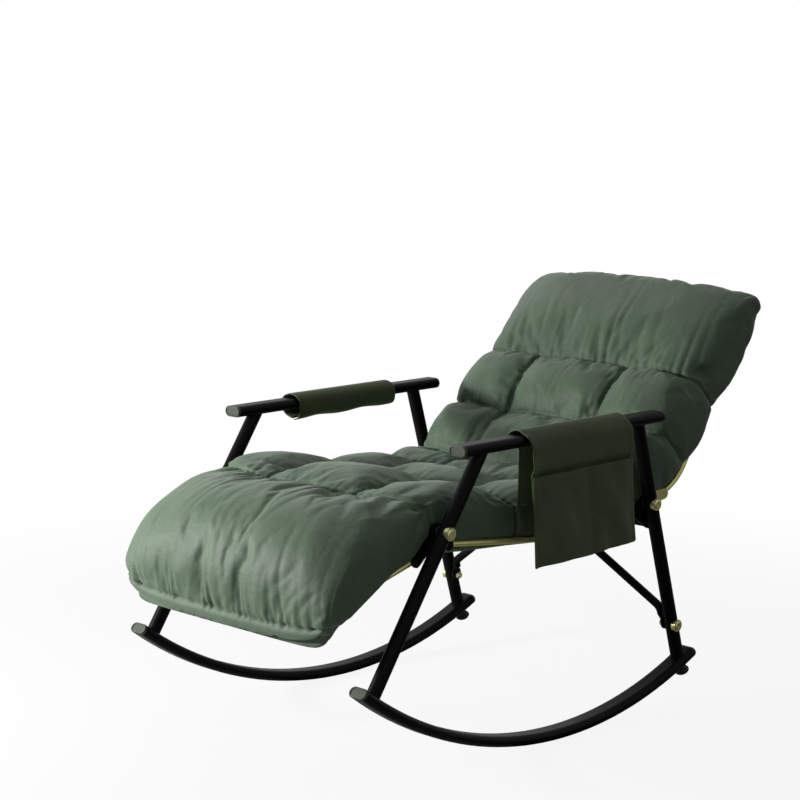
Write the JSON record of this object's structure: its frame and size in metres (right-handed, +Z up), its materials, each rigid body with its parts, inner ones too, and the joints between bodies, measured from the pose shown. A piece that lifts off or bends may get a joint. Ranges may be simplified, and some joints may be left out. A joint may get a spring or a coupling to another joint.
{
  "type": "rocker recliner",
  "caption": "Rocking recliner on curved tubular runners, with a quilted cushion over seat, back and footrest, level armrests, a pocket bag and a padded sleeve.",
  "frame": {"origin": "on the floor, midway between the two runners, where they touch it at rest", "axes": "+Z up, -Y towards the footrest, +X towards the sitter's left"},
  "size_m": [0.6416, 1.1719, 0.762],
  "materials": {
    "frame_black": "satin",
    "rail_gold": "satin",
    "bolt_gold": "satin",
    "cap_plastic": "matte",
    "spacer_plastic": "matte",
    "stop_rubber": "matte",
    "cushion_fabric": "soft satin",
    "sling_fabric": "matte",
    "bag_fabric": "matte"
  },
  "bodies": {
    "base": {"left_runner": "frame_black", "right_runner": "frame_black", "left_armrest": "frame_black", "right_armrest": "frame_black", "left_front_leg": "frame_black", "right_front_leg": "frame_black", "left_rear_leg": "frame_black", "right_rear_leg": "frame_black", "runner_front_caps": "cap_plastic", "runner_rear_caps": "cap_plastic", "armrest_front_caps": "cap_plastic", "armrest_rear_caps": "cap_plastic", "stop_feet": "stop_rubber", "stop_screws": "bolt_gold", "left_seat_rail": "rail_gold", "right_seat_rail": "rail_gold", "seat_front_pivot_plates": "rail_gold", "seat_rear_pivot_plates": "frame_black", "seat_front_cross_tube": "frame_black", "seat_rear_cross_tube": "frame_black", "rear_brace": "frame_black", "pivot_bolts": "bolt_gold", "brace_bolts": "bolt_gold", "pivot_nuts": "bolt_gold", "brace_nuts": "bolt_gold", "saddle_washers": "bolt_gold", "leg_spacers": "spacer_plastic", "pivot_washers": "bolt_gold", "seat_sling": "sling_fabric", "seat_cushion": "cushion_fabric", "armrest_bag": "bag_fabric", "bag_pockets": "bag_fabric", "armrest_sleeve": "bag_fabric"},
    "back": {"left_back_rail": "rail_gold", "right_back_rail": "rail_gold", "back_pivot_plates": "frame_black", "back_head_tube": "frame_black", "back_middle_tube": "frame_black", "back_sling": "sling_fabric", "back_cushion": "cushion_fabric", "head_hood": "cushion_fabric"},
    "footrest": {"left_footrest_rail": "rail_gold", "right_footrest_rail": "rail_gold", "footrest_pivot_plates": "frame_black", "footrest_end_tube": "frame_black", "footrest_sling": "sling_fabric", "footrest_cushion": "cushion_fabric", "footrest_hood": "cushion_fabric"}
  },
  "joints": [
    {"name": "back_recline", "type": "hinge", "parent": "base", "child": "back", "pos_m": [0, 0.23521, 0.393], "axis": [1, 0, 0], "range_deg": [-28, 18]},
    {"name": "footrest_swing", "type": "hinge", "parent": "base", "child": "footrest", "pos_m": [0, -0.30733, 0.42], "axis": [1, 0, 0], "range_deg": [-15, 40]}
  ]
}
